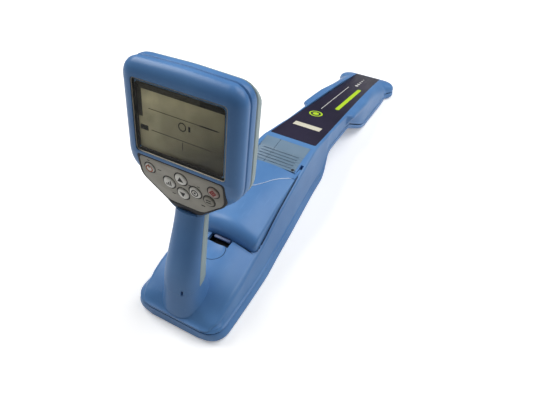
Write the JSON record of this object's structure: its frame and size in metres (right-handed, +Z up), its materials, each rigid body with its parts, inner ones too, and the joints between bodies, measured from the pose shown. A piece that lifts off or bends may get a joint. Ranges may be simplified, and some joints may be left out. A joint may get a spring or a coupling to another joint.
{
  "type": "cable locator",
  "caption": "Hand-held cable locator lying on its back: long flat casing tapering to a blade, upright handle with a display and keypad head, speaker grille and hinged battery door.",
  "frame": {"origin": "on the surface it lies on, under the middle of its length and width", "axes": "+Y along the casing from the handle end to the tip of the blade, +Z up, +X to the right as seen facing the display"},
  "size_m": [0.125, 0.648, 0.2903],
  "materials": {
    "blue_plastic": "satin blue moulding",
    "grip_grey": "satin pale grey moulding",
    "grille_plastic": "matt grey-blue moulding",
    "latch_plastic": "glossy lavender-blue moulding",
    "seal_rubber": "matt black",
    "steel": "bright zinc",
    "spring_steel": "nickel plated",
    "cell_jacket": "plain printed jacket",
    "black_plastic": "matt black",
    "circuit_board": "green solder mask",
    "ferrite": "dull sintered",
    "copper_wire": "enamelled copper",
    "panel_film": "printed film",
    "ivory_plate": "plain ivory film",
    "window_glass": "clear window",
    "lcd": "grey-green reflective display",
    "keypad_grey": "warm grey membrane",
    "white_key": "off-white",
    "red_key": "red-brown",
    "grey_key": "mid grey"
  },
  "bodies": {
    "casing": {"rear_shell": "blue_plastic", "front_shell": "blue_plastic", "casing_seal": "seal_rubber", "casing_screws": "steel", "blade_panel": "panel_film", "rating_plate": "ivory_plate", "speaker_grille": "grille_plastic", "grille_screws": "steel", "speaker": "black_plastic", "main_board": "circuit_board", "antenna_spine": "black_plastic", "upper_antenna_core": "ferrite", "upper_antenna_coil": "copper_wire", "lower_antenna_core": "ferrite", "lower_antenna_coil": "copper_wire", "battery_tray": "black_plastic", "battery_cell_near": "cell_jacket", "battery_cell_far": "cell_jacket", "battery_contacts": "spring_steel", "door_hinge_pins": "steel", "handle_front": "blue_plastic", "handle_grip": "grip_grey", "head_bezel": "blue_plastic", "head_seal_front": "seal_rubber", "head_band": "blue_plastic", "head_seal_rear": "seal_rubber", "head_rear": "grip_grey", "head_screws": "steel", "display_window": "window_glass", "lcd_panel": "lcd", "display_board": "circuit_board", "keypad_surround": "seal_rubber", "keypad_panel": "keypad_grey", "key_board": "circuit_board"},
    "battery_door": {"battery_door": "blue_plastic", "latch_pin": "steel"},
    "door_latch": {"door_latch": "latch_plastic"},
    "power_key": {"power_key": "white_key"},
    "upper_key": {"upper_key": "white_key"},
    "left_key": {"left_key": "white_key"},
    "right_key": {"right_key": "white_key"},
    "lower_key": {"lower_key": "white_key"},
    "red_key": {"red_key": "red_key"},
    "side_key": {"side_key": "grey_key"}
  },
  "joints": [
    {"name": "door_hinge", "type": "hinge", "parent": "casing", "child": "battery_door", "pos_m": [0, -0.08891, 0.07762], "axis": [-1, 0, 0], "range_deg": [0, 85]},
    {"name": "latch_pivot", "type": "hinge", "parent": "battery_door", "child": "door_latch", "pos_m": [0, -0.21643, 0.05058], "axis": [-1, 0, 0], "range_deg": [0, 14], "stiffness_Nm_per_rad": 0.05, "springref_deg": -8.59},
    {"name": "power_key_press", "type": "slide", "parent": "casing", "child": "power_key", "axis": [0, 0.9986, 0.0523], "range_m": [0, 0.0008], "stiffness_N_per_m": 700, "springref_m": -0.0004},
    {"name": "upper_key_press", "type": "slide", "parent": "casing", "child": "upper_key", "axis": [0, 0.9986, 0.0523], "range_m": [0, 0.0008], "stiffness_N_per_m": 700, "springref_m": -0.0004},
    {"name": "left_key_press", "type": "slide", "parent": "casing", "child": "left_key", "axis": [0, 0.9986, 0.0523], "range_m": [0, 0.0008], "stiffness_N_per_m": 700, "springref_m": -0.0004},
    {"name": "right_key_press", "type": "slide", "parent": "casing", "child": "right_key", "axis": [0, 0.9986, 0.0523], "range_m": [0, 0.0008], "stiffness_N_per_m": 700, "springref_m": -0.0004},
    {"name": "lower_key_press", "type": "slide", "parent": "casing", "child": "lower_key", "axis": [0, 0.9986, 0.0523], "range_m": [0, 0.0008], "stiffness_N_per_m": 700, "springref_m": -0.0004},
    {"name": "red_key_press", "type": "slide", "parent": "casing", "child": "red_key", "axis": [0, 0.9986, 0.0523], "range_m": [0, 0.0008], "stiffness_N_per_m": 700, "springref_m": -0.0004},
    {"name": "side_key_press", "type": "slide", "parent": "casing", "child": "side_key", "axis": [0, 0.9986, 0.0523], "range_m": [0, 0.0008], "stiffness_N_per_m": 700, "springref_m": -0.0004}
  ]
}
